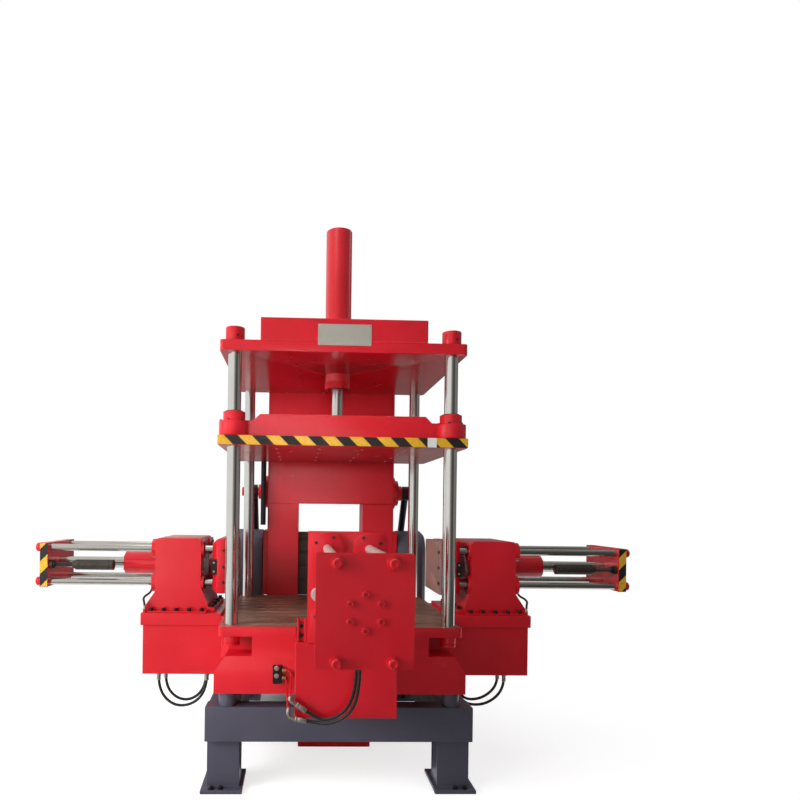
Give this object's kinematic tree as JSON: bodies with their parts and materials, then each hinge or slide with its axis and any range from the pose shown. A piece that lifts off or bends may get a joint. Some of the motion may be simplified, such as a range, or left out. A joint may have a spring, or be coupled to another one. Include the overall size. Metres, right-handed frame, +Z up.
{
  "type": "tilting gravity casting machine",
  "caption": "Hydraulic permanent mould casting machine: tilting bed on a floor frame, columns with a moving platen, side and front core pullers.",
  "frame": {"origin": "on the floor, at the centre of the four anchor bolts in the feet", "axes": "+Z up, -Y towards the operator at the front, +X to the operator's right"},
  "size_m": [3.954, 3.705, 3.606],
  "materials": {
    "red_paint": "gloss",
    "base_paint": "satin",
    "bright_steel": "polished",
    "table_steel": "machined",
    "mould_plate": "oiled",
    "black_steel": "satin",
    "sign_plate": "matt",
    "hose_rubber": "satin"
  },
  "bodies": {
    "base": {"base_rails": "base_paint", "base_cross_beams": "base_paint", "legs": "base_paint", "left_bearing_lug": "base_paint", "right_bearing_lug": "base_paint", "rest_pads": "base_paint", "cylinder_brackets": "base_paint"},
    "bed": {"bed_frame": "red_paint", "table_plate": "table_steel", "columns": "bright_steel", "column_nuts": "red_paint", "top_plate": "red_paint", "top_ribs": "red_paint", "nameplate": "sign_plate", "top_cylinder": "red_paint", "portal_head": "red_paint", "portal_legs": "red_paint", "rear_mould_plate": "mould_plate", "tilt_trunnions": "bright_steel", "cylinder_pivots": "red_paint", "ejector_housing": "red_paint", "left_arm": "red_paint", "right_arm": "red_paint", "left_core_housing": "red_paint", "right_core_housing": "red_paint", "left_core_cylinder": "red_paint", "right_core_cylinder": "red_paint", "front_bracket_box": "red_paint", "front_bracket_plate": "red_paint", "front_core_cylinder": "red_paint", "port_block": "black_steel", "hydraulic_pipes": "red_paint", "front_hose_upper": "hose_rubber", "front_hose_lower": "hose_rubber", "left_arm_hose_outer": "hose_rubber", "left_arm_hose_inner": "hose_rubber", "right_arm_hose_outer": "hose_rubber", "right_arm_hose_inner": "hose_rubber", "left_short_hose": "hose_rubber", "right_short_hose": "hose_rubber"},
    "platen": {"moving_platen": "red_paint", "platen_ribs": "red_paint", "platen_bushes": "red_paint", "press_rod": "bright_steel", "switch_rod": "black_steel"},
    "left_core": {"left_tail_plate": "red_paint", "left_rods": "bright_steel", "left_stop_rod": "black_steel", "left_carrier": "red_paint", "left_mould_plate": "mould_plate"},
    "right_core": {"right_tail_plate": "red_paint", "right_rods": "bright_steel", "right_stop_rod": "black_steel", "right_carrier": "red_paint", "right_mould_plate": "mould_plate"},
    "front_core": {"front_plate": "red_paint", "front_rods": "bright_steel", "front_carrier": "red_paint"},
    "tilt_rods": {"tilt_cylinder_rods": "black_steel"},
    "tilt_barrels": {"tilt_cylinder_barrels": "black_steel"}
  },
  "joints": [
    {"name": "tilt", "type": "hinge", "parent": "base", "child": "bed", "pos_m": [0, 0.46, 1.35], "axis": [-1, 0, 0], "range_deg": [0, 90]},
    {"name": "platen_slide", "type": "slide", "parent": "bed", "child": "platen", "axis": [0, 0, 1], "range_m": [-0.5, 0.2]},
    {"name": "left_core_slide", "type": "slide", "parent": "bed", "child": "left_core", "axis": [1, 0, 0], "range_m": [0, 0.24]},
    {"name": "right_core_slide", "type": "slide", "parent": "bed", "child": "right_core", "axis": [-1, 0, 0], "range_m": [0, 0.24]},
    {"name": "front_core_slide", "type": "slide", "parent": "bed", "child": "front_core", "axis": [0, 1, 0], "range_m": [0, 0.35]},
    {"name": "cylinder_swivel", "type": "hinge", "parent": "bed", "child": "tilt_rods", "pos_m": [0, 0.42, 1.82], "axis": [-1, 0, 0], "range_deg": [-76, 0]},
    {"name": "cylinder_stroke", "type": "slide", "parent": "tilt_rods", "child": "tilt_barrels", "axis": [0, 0.5311, -0.8473], "range_m": [-0.593, 0]}
  ],
  "couplings": [
    {"joint": "cylinder_swivel", "follows": "tilt", "ratio": -0.826},
    {"joint": "cylinder_stroke", "follows": "tilt", "m_per_rad": -0.371}
  ]
}
